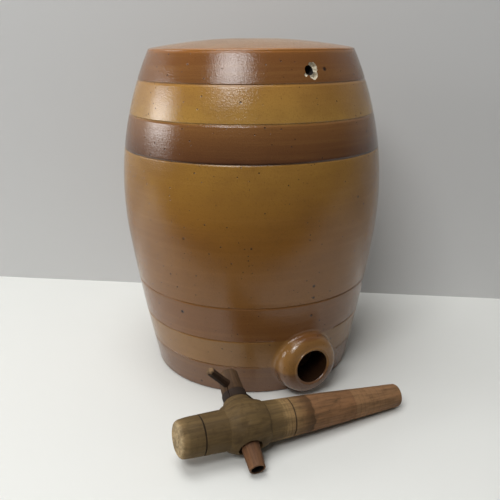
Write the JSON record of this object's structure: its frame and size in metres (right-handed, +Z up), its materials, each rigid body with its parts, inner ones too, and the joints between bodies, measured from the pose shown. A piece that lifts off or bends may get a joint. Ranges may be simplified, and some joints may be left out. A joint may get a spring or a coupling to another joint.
{
  "type": "drinks barrel with tap",
  "caption": "Salt-glazed stoneware drinks barrel with a tap boss and air hole, and its loose turned wooden barrel tap with a rotating key and cross handle.",
  "frame": {"origin": "centre of the barrel's foot, on the surface that it stands on", "axes": "+Z up, the tap boss and the air hole face -Y, the tap lies loose in front of the barrel"},
  "size_m": [0.3044, 0.3644, 0.3551],
  "materials": {
    "stoneware": "salt glazed, orange-peel surface, with two iron-brown bands",
    "tap_wood": "worn and weathered",
    "key_wood": "worn, darkened band",
    "peg_wood": "dark and worn"
  },
  "bodies": {
    "barrel": {"stoneware_barrel": "stoneware"},
    "tap": {"tap_body": "tap_wood"},
    "key": {"tap_key": "key_wood", "tap_handle": "peg_wood"}
  },
  "joints": [
    {"name": "tap_lift", "type": "slide", "parent": "barrel", "child": "tap", "axis": [0, 0, 1], "range_m": [0, 0.3]},
    {"name": "key_turn", "type": "hinge", "parent": "tap", "child": "key", "pos_m": [-0.0994, -0.1821, 0.02477], "axis": [0.132, 0.9006, 0.4141], "continuous": true}
  ]
}
